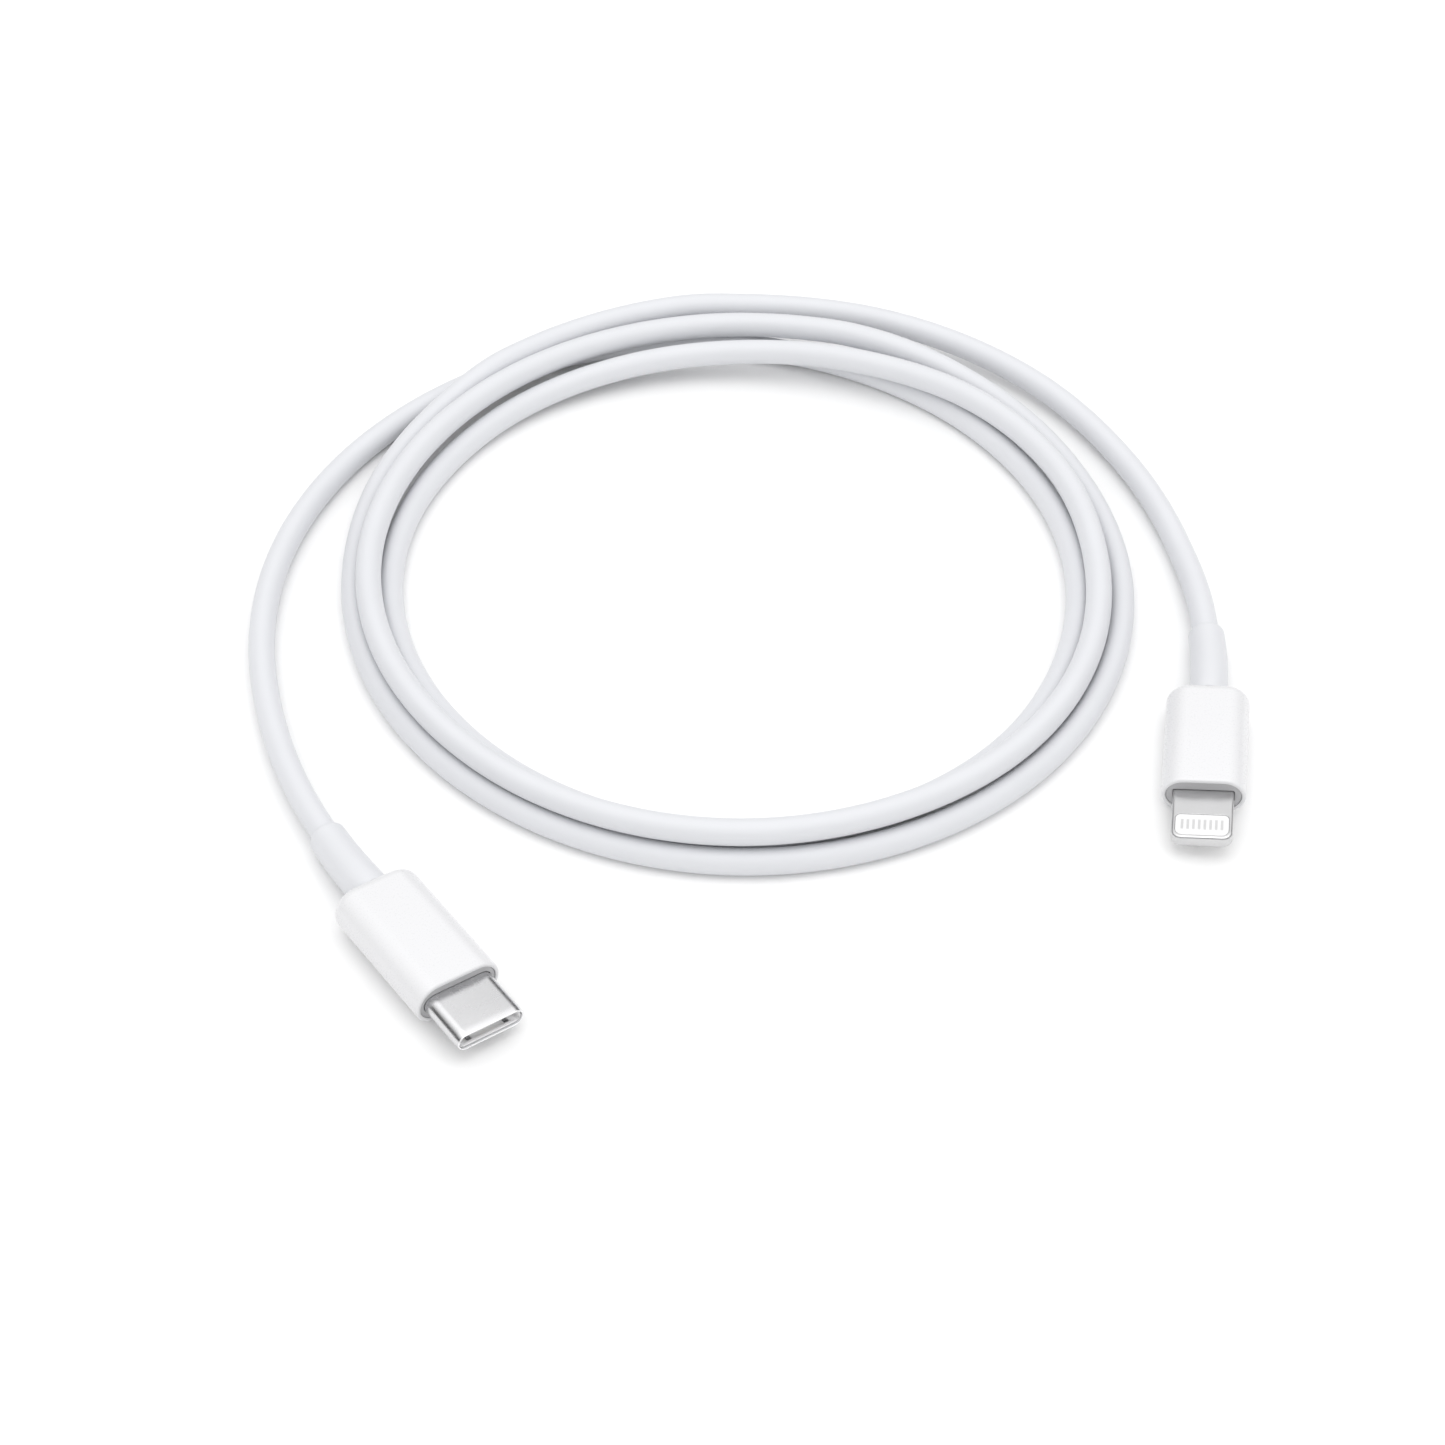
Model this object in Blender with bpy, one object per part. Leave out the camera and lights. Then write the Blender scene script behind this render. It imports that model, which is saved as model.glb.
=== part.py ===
"""Charging cable, coiled flat: a reversible eight-contact plug at one end, a USB-C plug at the other.

Units are metres in the scene; the constants below are millimetres and are scaled by MM.
Frame: the origin is the middle of the whole cable's outline on the surface it lies on, +Z is up
and -Y is the side the two plugs point to. The constants are measured from the coil's centre, and
ORIGIN moves them. The coil runs anticlockwise seen from above, flat plug first.
The jacket is cut into one coil and three links per tail that meet in ball ends, so that each
tail can swing, lift and twist; the wires and the braid run through all of them from plug to plug.
"""
import bpy
import math
from mathutils import Vector

MM = 0.001
ORIGIN = Vector((-0.29, -12.08, 0.0))   # the row's origin, from the centre of the coil

# ---- cable ------------------------------------------------------------------------------
JACKET_R = 1.52          # outer radius of the jacket
BORE_R = 1.05            # inner radius of the jacket
BRAID_OUT_R = 0.97       # braided shield, outer and inner radius
BRAID_IN_R = 0.87
WIRE_R = 0.28            # each of the four insulated wires
WIRE_LAY_R = 0.44        # distance of a wire's centre from the cable's centre
BALL_R = 1.50            # ball end of a link, centred on its joint
CUP_R = 1.75             # hollow end that a ball end sits in
FLOOR = 1.54             # centre height of a strand that lies on the surface
OVER = 4.7               # centre height of a strand that crosses over another
STEP = 15                # degrees between the sections of the sweep
SIDES = 10

# The route of the cable's centre line: (angle, radius, height). The angle counts up through
# three and a half laps; 0 is +X and 90 is +Y.
ROUTE = (
    # first lap: outermost at the back, where it climbs over the tail of the USB-C plug
    (-23, 57.5, 2.0), (0, 53.0, FLOOR), (23, 51.0, 1.8), (45, 50.5, 2.2), (68, 49.5, 2.9),
    (90, 47.5, 4.2), (100, 47.2, OVER), (130, 46.6, OVER), (145, 46.9, 3.2), (160, 47.0, 2.2),
    (180, 46.5, FLOOR), (225, 46.0, FLOOR), (270, 46.0, FLOOR), (315, 45.5, FLOOR),
    (338, 45.0, FLOOR),
    # second lap: outermost at the right, then it climbs and stays on top round the left and front
    (360, 44.5, FLOOR), (383, 44.0, 2.0), (405, 44.0, 2.8), (428, 43.5, 4.4), (435, 43.2, OVER),
    (458, 43.0, OVER), (495, 43.5, 4.7), (540, 44.5, 4.4), (585, 44.5, 4.4), (630, 44.5, 4.7),
    (652, 44.0, 4.6), (675, 43.5, 4.4), (698, 42.5, 4.1),
    # third lap: on top at the right, down at the back, then under the second lap at the front
    (720, 41.5, 4.3), (743, 41.0, OVER), (765, 40.2, OVER), (788, 38.7, 4.6), (810, 38.5, 3.9),
    (832, 39.5, 3.0), (855, 41.0, 2.0), (878, 41.8, FLOOR), (945, 42.0, FLOOR), (990, 42.0, FLOOR),
    (1035, 41.0, FLOOR), (1058, 40.0, FLOOR),
    # last half lap: innermost at the right, under three laps at the back, then out to the left
    (1080, 39.5, FLOOR), (1125, 39.5, FLOOR), (1148, 40.5, FLOOR), (1170, 42.5, FLOOR),
    (1192, 45.5, FLOOR), (1215, 49.0, FLOOR), (1260, 56.0, FLOOR), (1283, 59.0, FLOOR),
)
# Where the joints of each tail lie along the route, in degrees: swing, lift, twist.
FLAT_JOINTS = (62, 32, 8)
USBC_JOINTS = (1228, 1252, 1274)

# ---- plug positions: middle of the boot's front face, heading in degrees from -Y toward +X --
FLAT_AT = (50.74, -36.90, 2.71)
FLAT_HEADING = -7.7
FLAT_ROLL = 5.5                       # the cable holds this plug with its right side raised
FLAT_ENTRY = (53.70, -10.6, 2.2)      # where the cable enters the strain relief
FLAT_ENTRY_HEADING = 1.0
USBC_AT = (-30.05, -65.80, 2.92)
USBC_HEADING = 36.5
USBC_ROLL = -5.0                      # and this one with its right side lowered
USBC_ENTRY = (-45.95, -43.15, 2.2)
USBC_ENTRY_HEADING = 30.0
STUB_OUT = 2.4           # length of jacket between the last joint and the strain relief

# ---- plug bodies --------------------------------------------------------------------------
# width, height, length of the boot; width and height of the metal can inside it
FLAT_BOOT = (9.4, 5.0, 15.5)
FLAT_CAN = (7.8, 3.7)
USBC_BOOT = (10.3, 5.4, 17.0)
USBC_CAN = (8.9, 4.2)
RIM = 0.5                # wall of the boot round its recessed front
RECESS = 0.15            # depth of that recess
FLAT_RELIEF = (2.08, 2.16)   # strain relief radius at the cable end and at the boot
USBC_RELIEF = (2.12, 2.34)
NECK_R = 1.9             # the relief's neck, inside the boot's rear hole
RELIEF_BORE = 1.62

# ---- reversible flat plug -------------------------------------------------------------------
TAB_W, TAB_T, TAB_OUT, TAB_IN = 6.7, 1.5, 7.0, 4.5
WINDOW_W, WINDOW_L, WINDOW_TIP = 5.9, 3.1, 0.45
FLAT_PITCH, PAD_W, PAD_L, PAD_T = 0.62, 0.28, 1.44, 0.25
FLAT_CONTACTS = 8

# ---- USB-C plug -----------------------------------------------------------------------------
SHELL_W, SHELL_H, SHELL_OUT, SHELL_IN, SHELL_WALL = 8.25, 2.4, 6.2, 5.0, 0.24
HOUSING_W, HOUSING_H = 7.62, 1.62
SLOT_W, SLOT_H = 7.3, 1.24
FINGER_X, FINGER_W, FINGER_T = 2.3, 0.46, 0.09   # grounding fingers, each side of the middle
USBC_PITCH, ARM_W, ARM_T = 0.5, 0.26, 0.1
UPPER = (1, 4, 5, 6, 7, 9, 12)        # fitted positions of the upper row
LOWER = (1, 4, 5, 9, 12)              # fitted positions of the lower row
ARM_PIVOT = 0.0                       # where the contact arms and side latches bend

MATERIALS = {
    "jacket": ((0.86, 0.87, 0.89), 0.0, 0.55), "boot": ((0.93, 0.93, 0.94), 0.0, 0.32),
    "steel": ((0.66, 0.67, 0.69), 1.0, 0.28), "can": ((0.55, 0.56, 0.58), 1.0, 0.38),
    "insulator": ((0.92, 0.92, 0.92), 0.0, 0.45), "housing": ((0.70, 0.70, 0.71), 0.0, 0.45),
    "gold": ((0.83, 0.66, 0.36), 1.0, 0.3), "board": ((0.05, 0.22, 0.12), 0.0, 0.5),
    "chip": ((0.03, 0.03, 0.035), 0.0, 0.4), "braid": ((0.62, 0.60, 0.57), 1.0, 0.45),
    "red": ((0.62, 0.05, 0.04), 0.0, 0.5), "black": ((0.03, 0.03, 0.03), 0.0, 0.5),
    "green": ((0.05, 0.40, 0.12), 0.0, 0.5), "white": ((0.85, 0.85, 0.83), 0.0, 0.5),
}


def clear():
    for obj in list(bpy.data.objects):
        bpy.data.objects.remove(obj, do_unlink=True)


def material(name, kind):
    colour, metallic, rough = MATERIALS[kind]
    mat = bpy.data.materials.new(name)
    mat.use_nodes = True
    shader = mat.node_tree.nodes["Principled BSDF"]
    shader.inputs["Base Color"].default_value = (*colour, 1.0)
    shader.inputs["Metallic"].default_value = metallic
    shader.inputs["Roughness"].default_value = rough
    return mat


def add(name, verts, faces, kind, pivot=(0, 0, 0), smooth=True):
    """One object. Points are in millimetres; the object's origin goes to the pivot."""
    pivot = Vector(pivot)
    mesh = bpy.data.meshes.new(name)
    mesh.from_pydata([(Vector(v) - pivot) * MM for v in verts], [], faces)
    mesh.validate()
    mesh.update()
    obj = bpy.data.objects.new(name, mesh)
    obj.location = (pivot - ORIGIN) * MM
    bpy.context.scene.collection.objects.link(obj)
    mesh.materials.append(material(name, kind))
    if smooth:
        mesh.shade_smooth()
        mesh.set_sharp_from_angle(angle=math.radians(40))
    return obj


# ---- curve helpers ------------------------------------------------------------------------
def route_value(angle, column):
    """Smooth value of the radius (1) or the height (2) at an angle; heights never overshoot."""
    i = max(k for k in range(len(ROUTE) - 1) if ROUTE[k][0] <= angle or k == 0)

    def rate(k):
        return (ROUTE[k + 1][column] - ROUTE[k][column]) / (ROUTE[k + 1][0] - ROUTE[k][0])

    def slope(k):
        if k == 0 or k == len(ROUTE) - 1:
            return rate(min(k, len(ROUTE) - 2))
        before, after = rate(k - 1), rate(k)
        if column == 2 and before * after <= 0:
            return 0.0
        gap_before, gap_after = ROUTE[k][0] - ROUTE[k - 1][0], ROUTE[k + 1][0] - ROUTE[k][0]
        mean = (before * gap_after + after * gap_before) / (gap_before + gap_after)
        if column == 2:
            mean = math.copysign(min(abs(mean), 3 * abs(before), 3 * abs(after)), mean)
        return mean

    span = ROUTE[i + 1][0] - ROUTE[i][0]
    t = (angle - ROUTE[i][0]) / span
    return ((2 * t ** 3 - 3 * t ** 2 + 1) * ROUTE[i][column]
            + (t ** 3 - 2 * t ** 2 + t) * span * slope(i)
            + (3 * t ** 2 - 2 * t ** 3) * ROUTE[i + 1][column]
            + (t ** 3 - t ** 2) * span * slope(i + 1))


def route_point(angle):
    radius, height, turn = route_value(angle, 1), route_value(angle, 2), math.radians(angle)
    return Vector((radius * math.cos(turn), radius * math.sin(turn), height))


def hermite(p0, d0, p1, d1, count):
    """Points on a curve from p0 to p1 that leaves along d0 and arrives along d1."""
    reach = (p1 - p0).length
    points = []
    for k in range(count + 1):
        t = k / count
        points.append((2 * t ** 3 - 3 * t ** 2 + 1) * p0 + (t ** 3 - 2 * t ** 2 + t) * reach * d0
                      + (3 * t ** 2 - 2 * t ** 3) * p1 + (t ** 3 - t ** 2) * reach * d1)
    return points


def heading_vector(degrees):
    turn = math.radians(degrees)
    return Vector((math.sin(turn), -math.cos(turn), 0))


def with_tangents(points):
    """Pair every point with the direction of the line there."""
    steps = [(b - a).normalized() for a, b in zip(points, points[1:])]
    steps = [steps[0]] + steps + [steps[-1]]
    return [(p, (a + b).normalized()) for p, a, b in zip(points, steps, steps[1:])]


def ring(centre, tangent, radius, sides, shift=0.0, turn=0.0):
    """A circle square to the tangent. A shift moves it along the tangent."""
    side = tangent.cross(Vector((0, 0, 1))).normalized()
    up = side.cross(tangent)
    middle = centre + tangent * shift
    return [middle + side * radius * math.cos(turn + math.tau * k / sides)
            + up * radius * math.sin(turn + math.tau * k / sides) for k in range(sides)]


# ---- mesh helpers -------------------------------------------------------------------------
def loft(loops, closed=False):
    """Skin a list of equal loops. Closed joins the last to the first, otherwise both are capped."""
    count = len(loops[0])
    verts = [p for loop in loops for p in loop]
    faces = []
    rows = len(loops) if closed else len(loops) - 1
    for r in range(rows):
        a, b = r * count, ((r + 1) % len(loops)) * count
        for k in range(count):
            n = (k + 1) % count
            faces.append((a + k, a + n, b + n, b + k))
    if not closed:
        faces.append(tuple(range(count))[::-1])
        faces.append(tuple(range(rows * count, rows * count + count)))
    return verts, faces


def turned_out(obj):
    """Make every face of a closed body point outward."""
    mesh = obj.data
    volume = 0.0
    for poly in mesh.polygons:
        corners = [mesh.vertices[v].co for v in poly.vertices]
        for k in range(1, len(corners) - 1):
            volume += corners[0].dot(corners[k].cross(corners[k + 1]))
    if volume < 0:
        mesh.flip_normals()
    return obj


def body(name, loops, kind, pivot=(0, 0, 0), closed=False):
    verts, faces = loft(loops, closed)
    return turned_out(add(name, verts, faces, kind, pivot))


def box_mesh(low, high, place):
    corners = [place(x, y, z) for x in (low[0], high[0]) for y in (low[1], high[1])
               for z in (low[2], high[2])]
    faces = [(0, 1, 3, 2), (4, 6, 7, 5), (0, 4, 5, 1), (2, 3, 7, 6), (0, 2, 6, 4), (1, 5, 7, 3)]
    return corners, faces


def box(name, low, high, place, kind, pivot=(0, 0, 0)):
    verts, faces = box_mesh(low, high, place)
    return turned_out(add(name, verts, faces, kind, pivot, smooth=False))


def carve(target, cutters):
    """Cut closed meshes out of the target with an exact Boolean, then drop the cutter."""
    verts, faces = [], []
    for v, f in cutters:
        faces += [tuple(i + len(verts) for i in face) for face in f]
        verts += v
    cutter = turned_out(add("cutter", verts, faces, "steel", smooth=False))
    cutter.hide_render = True
    cutter.display_type = "WIRE"
    step = target.modifiers.new("cut", "BOOLEAN")
    step.operation, step.solver, step.object = "DIFFERENCE", "EXACT", cutter
    bpy.context.view_layer.update()
    graph = bpy.context.evaluated_depsgraph_get()
    mesh = bpy.data.meshes.new_from_object(target.evaluated_get(graph))
    target.modifiers.clear()
    old, target.data = target.data, mesh
    bpy.data.meshes.remove(old)
    bpy.data.objects.remove(cutter, do_unlink=True)
    mesh.name = target.name
    return target


# ---- cable --------------------------------------------------------------------------------
def tube(name, line, outer, inner, kind, pivot=(0, 0, 0), start="flat", end="flat",
         sides=SIDES):
    """A pipe along the line. A ball end bulges over its joint, a cup end is hollow round it."""
    loops = [ring(p, t, outer, sides) for p, t in line]
    holes = [ring(p, t, inner, sides) for p, t in line]

    def finish(style, at, sign):
        """Loops from the outside to the bore at one end; the sign points out of the pipe."""
        if style == "ball":
            reach = ((BALL_R, 0.0), (1.32, sign), (inner, sign))
            return [ring(*line[at], r, sides, k * math.sqrt(BALL_R ** 2 - r ** 2))
                    for r, k in reach]
        if style == "cup":
            return [ring(*line[at], r, sides, -sign * math.sqrt(CUP_R ** 2 - r ** 2))
                    for r in (outer, (outer + inner) / 2, inner)]
        return [loops[at], holes[at]]

    head, tail = finish(start, 0, -1), finish(end, -1, 1)
    return body(name, head[:1] + loops[1:-1] + tail + holes[-2:0:-1] + head[:0:-1], kind,
                pivot, closed=True)


def stations(first, last):
    """Angles from one joint to the next: close to both ends, and every whole step between."""
    inner = [a for a in range(-30, 1320, STEP) if first + 6 < a < last - 6]
    return [first, first + 2.4] + inner + [last - 2.4, last]


def relief_line(entry, entry_heading, at, heading, length):
    """Centre line from where the cable enters the strain relief to inside the boot."""
    forward = heading_vector(heading)
    rear = Vector(at) - forward * length
    curve = hermite(Vector(entry), heading_vector(entry_heading), rear, forward, 5)
    return curve + [rear + forward * 1.2, rear + forward * 2.6]


def last_link(angle, sign, joint, heading):
    """Centre line from the twist joint to the last joint before the plug."""
    start, reach = route_point(angle), heading_vector(heading)
    ahead = (route_point(angle + 2 * sign) - start).normalized()
    curve = hermite(start, ahead, joint, reach, 3)
    return [start, start + ahead * 2.2] + curve[1:-1] + [joint - reach * 2.2, joint]


def spine():
    """The whole centre line from plug to plug, and the index of every joint along it."""
    flat = relief_line(FLAT_ENTRY, FLAT_ENTRY_HEADING, FLAT_AT, FLAT_HEADING, FLAT_BOOT[2])
    usbc = relief_line(USBC_ENTRY, USBC_ENTRY_HEADING, USBC_AT, USBC_HEADING, USBC_BOOT[2])
    flat_joint = flat[0] - heading_vector(FLAT_ENTRY_HEADING) * STUB_OUT
    usbc_joint = usbc[0] - heading_vector(USBC_ENTRY_HEADING) * STUB_OUT
    points, marks = flat[::-1], {}
    marks["flat_4"] = len(points)
    points += last_link(FLAT_JOINTS[2], -1, flat_joint, FLAT_ENTRY_HEADING)[::-1]
    names = ("flat_3", "flat_2", "flat_1", "usbc_1", "usbc_2", "usbc_3")
    angles = FLAT_JOINTS[::-1] + USBC_JOINTS
    marks[names[0]] = len(points) - 1
    for name, first, last in zip(names[1:], angles, angles[1:]):
        points += [route_point(a) for a in stations(first, last)[1:]]
        marks[name] = len(points) - 1
    points += last_link(USBC_JOINTS[2], 1, usbc_joint, USBC_ENTRY_HEADING)[1:]
    marks["usbc_4"] = len(points) - 1
    return with_tangents(points + usbc), marks


def jackets(line, marks):
    """The coil, then three links and a stub on each tail. Each piece turns about its own start."""
    tube("jacket_coil", line[marks["flat_1"]:marks["usbc_1"] + 1], JACKET_R, BORE_R, "jacket",
         start="cup", end="cup")
    backward = [(p, -t) for p, t in line[::-1]]
    top = len(line) - 1
    for plug, way, count in (("flat", backward, -1), ("usbc", line, 1)):
        at = [marks[f"{plug}_{k}"] for k in (1, 2, 3, 4)]
        if count < 0:
            at = [top - i for i in at]
        for k in range(3):
            tube(f"jacket_{plug}_link_{k + 1}", way[at[k]:at[k + 1] + 1], JACKET_R, BORE_R,
                 "jacket", way[at[k]][0], start="ball", end="cup")
        tube(f"jacket_{plug}_stub", way[at[3]:], JACKET_R, BORE_R, "jacket", way[at[3]][0],
             start="ball")


def cores(line):
    """The braided shield and the four wires, each in one piece from plug to plug."""
    def longer(past):
        (first, t0), (last, t1) = line[0], line[-1]
        return [(first - t0 * past, t0)] + line + [(last + t1 * past, t1)]

    tube("shield_braid", longer(1.0), BRAID_OUT_R, BRAID_IN_R, "braid", sides=6)
    names = (("wire_power", "red"), ("wire_data_plus", "green"), ("wire_ground", "black"),
             ("wire_data_minus", "white"))
    for k, (name, kind) in enumerate(names):
        turn = math.tau * (k + 0.5) / 4
        loops = []
        for p, t in longer(2.4):
            side = t.cross(Vector((0, 0, 1))).normalized()
            up = side.cross(t)
            centre = p + (side * math.cos(turn) + up * math.sin(turn)) * WIRE_LAY_R
            loops.append(ring(centre, t, WIRE_R, 5))
        body(name, loops, kind)


# ---- plugs --------------------------------------------------------------------------------
def placer(at, heading, roll=0.0):
    """Plug coordinates to the row: across the plug, along it toward its tip, and up."""
    forward = heading_vector(heading)
    level, turn = Vector((-forward.y, forward.x, 0)), math.radians(roll)
    across = level * math.cos(turn) + Vector((0, 0, math.sin(turn)))
    up = forward.cross(across)
    middle = Vector(at)

    def place(x, y, z):
        return middle + across * x + forward * y + up * z
    return place


def stadium(width, height, y, place, sides=24, corner=None):
    """A loop of rounded-end outline; a corner radius under half the height gives flat sides."""
    radius = min(height, width) / 2 if corner is None else corner
    loop = []
    for k in range(sides):
        turn = math.tau * (k + 0.5) / sides
        c, s = math.cos(turn), math.sin(turn)
        loop.append(place(math.copysign(width / 2 - radius, c) + radius * c, y,
                          math.copysign(height / 2 - radius, s) + radius * s))
    return loop


def boot(name, size, can, place, pivot):
    """The moulded grip: rounded at the rear, with a hole there for the strain relief's neck."""
    width, height, length = size
    hole = (2 * NECK_R + 0.2, 2 * NECK_R + 0.2)
    loops = [stadium(*hole, -length, place)]
    for back, inset in ((0.0, 2.4), (0.1, 1.44), (0.3, 0.81), (0.6, 0.32), (1.2, 0.0)):
        loops.append(stadium(width - inset, height - 0.6 * inset, -length + back, place))
    loops += [stadium(width, height, -0.25, place),
              stadium(width - 0.3, height - 0.3, 0.0, place),
              stadium(width - 2 * RIM, height - 2 * RIM, 0.0, place),
              stadium(width - 2 * RIM, height - 2 * RIM, -RECESS - 0.5, place),
              stadium(can[0] + 0.1, can[1] + 0.1, -RECESS - 0.5, place),
              stadium(can[0] + 0.1, can[1] + 0.1, -length + 3.0, place),
              stadium(*hole, -length + 3.0, place)]
    return body(name, loops, "boot", pivot, closed=True)


def strain_relief(name, line, radii, pivot):
    """The sleeve between cable and boot; its neck passes through the boot's rear hole."""
    last = len(line) - 3
    thick = [radii[0] + (radii[1] - radii[0]) * i / last for i in range(last + 1)]
    loops = [ring(*line[0], thick[0] - 0.12, SIDES), ring(*line[0], thick[0], SIDES, 0.12)]
    loops += [ring(*line[i], thick[i], SIDES) for i in range(1, last)]
    loops += [ring(*line[last], thick[last], SIDES, -0.08),
              ring(*line[last], NECK_R, SIDES, -0.08), ring(*line[-1], NECK_R, SIDES)]
    loops += [ring(p, t, RELIEF_BORE, SIDES) for p, t in line[::-1]]
    return body(name, loops, "boot", pivot, closed=True)


def can(name, size, mouth, corner, length, place, pivot):
    """The metal can inside the boot: a tube with a front plate that is open round the nose."""
    width, height = size
    wall = 0.25
    front = -RECESS
    collar = (width + 0.15, height + 0.1)
    rear = -length + 3.2
    throat = (2 * JACKET_R + 0.5, 2 * JACKET_R + 0.5)
    loops = [stadium(*mouth, front, place, corner=corner), stadium(*collar, front, place),
             stadium(*collar, front - 0.4, place), stadium(width, height, front - 0.55, place),
             stadium(width, height, rear + 0.8, place), stadium(*throat, rear, place),
             stadium(*throat, rear + 0.35, place),
             stadium(width - 2 * wall, height - 2 * wall, rear + 1.3, place),
             stadium(width - 2 * wall, height - 2 * wall, front - 0.6, place),
             stadium(*mouth, front - 0.6, place, corner=corner)]
    return body(name, loops, "can", pivot, closed=True)


def flat_plug(line, joint):
    place = placer(FLAT_AT, FLAT_HEADING, FLAT_ROLL)
    boot("flat_boot", FLAT_BOOT, FLAT_CAN, place, joint)
    strain_relief("flat_strain_relief", line, FLAT_RELIEF, joint)
    can("flat_can", FLAT_CAN, (TAB_W + 0.1, TAB_T + 0.1), 0.2, FLAT_BOOT[2], place, joint)
    tab_frame(place, joint)
    tab_contacts(place, joint)
    box("flat_board", (-2.6, -10.4, -0.3), (2.6, -TAB_IN - 0.15, 0.3), place, "board", joint)
    box("flat_chip", (-1.3, -8.6, 0.32), (1.3, -6.2, 0.95), place, "chip", joint)


def tab_frame(place, joint):
    """The metal tongue: rounded and bevelled at the tip, with a window through it."""
    half_w, half_t, bevel, corner = TAB_W / 2, TAB_T / 2, 0.22, 0.95
    outline = [(-half_w, -TAB_IN), (half_w, -TAB_IN)]
    for k in range(7):
        turn = math.pi / 2 * k / 6
        outline.append((half_w - corner + corner * math.cos(turn),
                        TAB_OUT - corner + corner * math.sin(turn)))
    outline += [(-x, y) for x, y in outline[:1:-1]]

    def layer(inset, z):
        grow_x, grow_y = (half_w - inset) / half_w, (TAB_OUT - inset) / TAB_OUT
        return [place(x * grow_x, y * (grow_y if y > 0 else 1), z) for x, y in outline]
    loops = [layer(bevel, -half_t), layer(0, -half_t + bevel), layer(0, half_t - bevel),
             layer(bevel, half_t)]
    frame = body("flat_tab", loops, "steel", joint)
    window_top = TAB_OUT - WINDOW_TIP
    window = rounded_block(WINDOW_W / 2, window_top - WINDOW_L, window_top, 0.8, 0.5, place)
    carve(frame, [window])
    turned_out(frame)


def rounded_block(half, low, high, half_z, radius, place):
    """An upright block with rounded corners, as a mesh."""
    corners = [(half - radius, high - radius, 0), (-half + radius, high - radius, 90),
               (-half + radius, low + radius, 180), (half - radius, low + radius, 270)]
    outline = []
    for cx, cy, start in corners:
        for k in range(5):
            turn = math.radians(start + 90 * k / 4)
            outline.append((cx + radius * math.cos(turn), cy + radius * math.sin(turn)))
    return loft([[place(x, y, z) for x, y in outline] for z in (-half_z, half_z)])


def tab_contacts(place, joint):
    """The insulator that fills the window, and eight contact pads let into each of its faces."""
    top = TAB_OUT - WINDOW_TIP
    gap, half_t = 0.04, TAB_T / 2
    verts, faces = rounded_block(WINDOW_W / 2 - gap, top - WINDOW_L + gap, top - gap,
                                 half_t - 0.02, 0.46, place)
    block = turned_out(add("flat_insulator", verts, faces, "insulator", joint, smooth=False))
    pad_low, pockets = top - 2.3, []
    for k in range(FLAT_CONTACTS):
        x = (k - (FLAT_CONTACTS - 1) / 2) * FLAT_PITCH
        for low_z, high_z in ((half_t - PAD_T - 0.04, 1.0), (-1.0, -half_t + PAD_T + 0.04)):
            pockets.append(box_mesh((x - PAD_W / 2 - 0.03, pad_low - 0.03, low_z),
                                    (x + PAD_W / 2 + 0.03, pad_low + PAD_L + 0.03, high_z), place))
    carve(block, pockets)
    turned_out(block)
    for k in range(FLAT_CONTACTS):
        x = (k - (FLAT_CONTACTS - 1) / 2) * FLAT_PITCH
        box(f"flat_contact_top_{k + 1}", (x - PAD_W / 2, pad_low, half_t - PAD_T),
            (x + PAD_W / 2, pad_low + PAD_L, half_t - 0.03), place, "gold", joint)
        box(f"flat_contact_bottom_{k + 1}", (x - PAD_W / 2, pad_low, -half_t + 0.03),
            (x + PAD_W / 2, pad_low + PAD_L, -half_t + PAD_T), place, "gold", joint)


def usbc_plug(line, joint):
    place = placer(USBC_AT, USBC_HEADING, USBC_ROLL)
    boot("usbc_boot", USBC_BOOT, USBC_CAN, place, joint)
    strain_relief("usbc_strain_relief", line, USBC_RELIEF, joint)
    can("usbc_can", USBC_CAN, (SHELL_W + 0.08, SHELL_H + 0.08), None, USBC_BOOT[2], place, joint)
    nose(place, joint)
    springs(place, joint)
    contact_rows(place)
    latches(place)
    box("usbc_board", (-3.0, -11.8, -0.3), (3.0, -1.6, 0.3), place, "board", joint)


def nose(place, joint):
    """The drawn steel shell with its rolled tip, and the pale housing with the tongue slot."""
    inner = (SHELL_W - 2 * SHELL_WALL, SHELL_H - 2 * SHELL_WALL)
    loops = [stadium(SHELL_W, SHELL_H, -SHELL_IN, place),
             stadium(SHELL_W, SHELL_H, SHELL_OUT - 0.12, place),
             stadium(SHELL_W - 0.16, SHELL_H - 0.16, SHELL_OUT, place),
             stadium(inner[0] + 0.1, inner[1] + 0.1, SHELL_OUT, place),
             stadium(*inner, SHELL_OUT - 0.1, place), stadium(*inner, -SHELL_IN, place)]
    body("usbc_shell", loops, "steel", joint, closed=True)
    tip = SHELL_OUT - 0.3
    loops = [stadium(HOUSING_W, HOUSING_H, -1.2, place),
             stadium(HOUSING_W, HOUSING_H, tip, place),
             stadium(SLOT_W, SLOT_H, tip, place, corner=0.3),
             stadium(SLOT_W, SLOT_H, -1.2, place, corner=0.3)]
    housing = body("usbc_housing", loops, "housing", joint, closed=True)
    windows = []
    for x in (-FINGER_X, FINGER_X):
        reach = FINGER_W / 2 + 0.07
        for low, high in ((SLOT_H / 2 - 0.1, 0.9), (-0.9, -SLOT_H / 2 + 0.1)):
            windows.append(box_mesh((x - reach, 4.82, low), (x + reach, 5.62, high), place))
    carve(housing, windows)
    turned_out(housing)


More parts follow.
